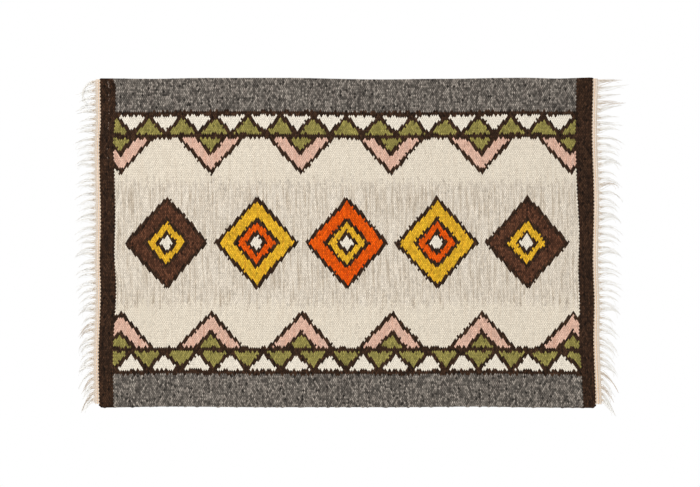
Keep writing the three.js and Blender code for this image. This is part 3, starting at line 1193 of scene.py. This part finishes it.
        w = np.linspace(0, 1, self.coil_steps)
        start = stray(np.arange(self.locks), Spread.WINDING)[:, None]
        about = 2 * math.pi * (self.knot_turns * w + start)
        up = np.cross(axis, FORWARD)
        ring = np.cos(about)[..., None] * up[:, None] + np.sin(about)[..., None] * FORWARD
        shift = ((w - 0.5) * self.coil_reach * self.knot_half)[:, None] * axis[:, None]
        coil = locks.knot[:, None] + shift + ring * (self.knot_radius - self.end_radius)
        radii = np.full((self.locks, len(w), self.end_sides), self.end_radius * self.coil_swell)
        return core.joined(swept_tubes(coil, radii, axis[:, None]))

    def build(self) -> dict[str, bpy.types.Object]:
        """Makes the end's three pieces.

        Returns:
            The pieces by what they are.
        """
        locks = self.lock_places()
        surfaces = {
            "heading": self.heading(), "warp_ends": self.warp_ends(locks), "knots": self.knots(locks),
        }
        return {
            word: mesh_piece(f"{word}_{self.side.word}", points, quads, {"yarn": corners})
            for word, (points, quads, corners) in surfaces.items()
        }

    def dress(
        self, pieces: dict[str, bpy.types.Object], twine: bpy.types.Material, warp: bpy.types.Material
    ) -> None:
        """Gives the heading its twine, and the ends and knots their warp yarn.

        Args:
            pieces: the end's pieces by what they are.
            twine: the heading's finish.
            warp: the warp ends' finish.
        """
        for word, piece in pieces.items():
            piece.data.materials.append(twine if word == "heading" else warp)


class Lamp(NamedTuple):
    """A square soft light: where it stands, its side in metres and its power in watts."""

    name: str
    place: tuple[float, float, float]
    size: float
    power: float


@dataclass
class Studio:
    """A pale floor, soft light and a camera square to the cloth."""

    cloth: ClothShape
    pixel: float = 1050 * MM / 493.6
    frame_width: int = 700
    lens: float = 85
    sensor: float = 36
    aim_pixels: tuple[float, float] = (3.4, 0.75)
    aim_front: float = 6 * MM
    floor_level: float = -1.3
    floor_radius: float = 2.6
    floor_hole: float = 0.02
    floor_rings: int = 6
    floor_sides: int = 64
    ambient: float = 0.36
    lamps: tuple[Lamp, ...] = (
        Lamp("key", (-2.2, -3.8, 3.9), 2.4, 330), Lamp("fill", (3.4, -4.4, 0.6), 3.0, 30),
        Lamp("back", (1.0, 3.6, 2.6), 2.6, 150),
    )

    def camera(self) -> None:
        """Sets the camera where the cloth has its size and place in the frame."""
        distance = self.pixel * self.frame_width * self.lens / self.sensor
        data = bpy.data.cameras.new("camera")
        data.lens, data.sensor_width = self.lens, self.sensor
        camera = bpy.data.objects.new("camera", data)
        aside, below = self.aim_pixels
        level = -self.cloth.height / 2 - below * self.pixel
        camera.location = (aside * self.pixel, -distance - self.aim_front, level)
        camera.rotation_euler = (math.pi / 2, 0, 0)
        bpy.context.scene.collection.objects.link(camera)
        bpy.context.scene.camera = camera

    def light(self, lamp: Lamp) -> None:
        """Adds a soft light aimed at the middle of the cloth.

        Args:
            lamp: the light.
        """
        data = bpy.data.lights.new(lamp.name, "AREA")
        data.size, data.energy = lamp.size, lamp.power
        light = bpy.data.objects.new(lamp.name, data)
        light.location = lamp.place
        aim = Vector((0, 0, -self.cloth.height / 2)) - light.location
        light.rotation_euler = aim.to_track_quat("-Z", "Y").to_euler()
        bpy.context.scene.collection.objects.link(light)

    def world(self) -> None:
        """A white surround that lights the cloth less brightly than it shows."""
        g = NodeGraph(bpy.data.worlds.new("white_surround"))
        bpy.context.scene.world = g.owner
        lit, seen = (g.add("Background", (1, 1, 1, 1), strength) for strength in (self.ambient, 1.0))
        direct = g.add("LightPath", output="Is Camera Ray")
        g.add("OutputWorld", g.add("MixShader", direct, lit, seen))

    def floor(self) -> None:
        """A round pale floor below the cloth: rings of a disc, radius and turn on a grid."""
        turn = np.arange(self.floor_sides) / self.floor_sides * 2 * math.pi
        radius = np.linspace(self.floor_hole, 1, self.floor_rings)[:, None] * self.floor_radius
        level = np.full((self.floor_rings, self.floor_sides), self.floor_level)
        points = np.stack([radius * np.cos(turn), radius * np.sin(turn), level], axis=-1)
        number = np.arange(level.size).reshape(level.shape)
        beside = np.roll(number, -1, axis=1)
        quads = np.stack([number[:-1], number[1:], beside[1:], beside[:-1]], axis=-1).reshape(-1, 4)
        floor = mesh_piece("floor", points, quads, {})
        g = NodeGraph(bpy.data.materials.new("pale_floor"))
        shader = g.add("BsdfPrincipled", named={"Base Color": linear("#f0efec"), "Roughness": 0.8})
        g.add("OutputMaterial", shader)
        floor.data.materials.append(g.owner)

    def build(self) -> None:
        """Sets the whole studio up."""
        self.camera()
        self.world()
        self.floor()
        for lamp in self.lamps:
            self.light(lamp)
        bpy.context.scene.view_settings.view_transform = "Standard"


def main() -> None:
    """Builds the tapestry and its studio, and reports each piece."""
    logging.basicConfig(level=logging.INFO, format="%(name)s: %(message)s")
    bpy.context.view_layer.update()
    cloth = ClothShape()
    Studio(cloth).build()

    panel = WovenPanel(cloth, WoolWeave(cloth))
    sheet = panel.build()
    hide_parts("woven_panel")
    woollen = [sheet, *panel.selvedges()]
    panel.dress(woollen)

    twine = CottonYarn("cotton_twine", "#e7cfb4", "#d7b99a", "#d6c9ba").material()
    warp = CottonYarn("cotton_warp", "#f6f4f0", "#e6e2da", "#cbbba8", (2 * MM, 17 * MM)).material()
    cottons = []
    for side in Side:
        end = FringedEnd(side, cloth)
        pieces = end.build()
        end.dress(pieces, twine, warp)
        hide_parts(f"fringe_{side.word}")
        cottons.extend(pieces.values())
    for slot, pieces in (("wool", woollen), ("cotton", cottons)):
        for piece in pieces:
            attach(piece, BODY)
            log.info("%s: %d faces", piece.name, len(piece.data.polygons))


if __name__ == "__main__":
    main()
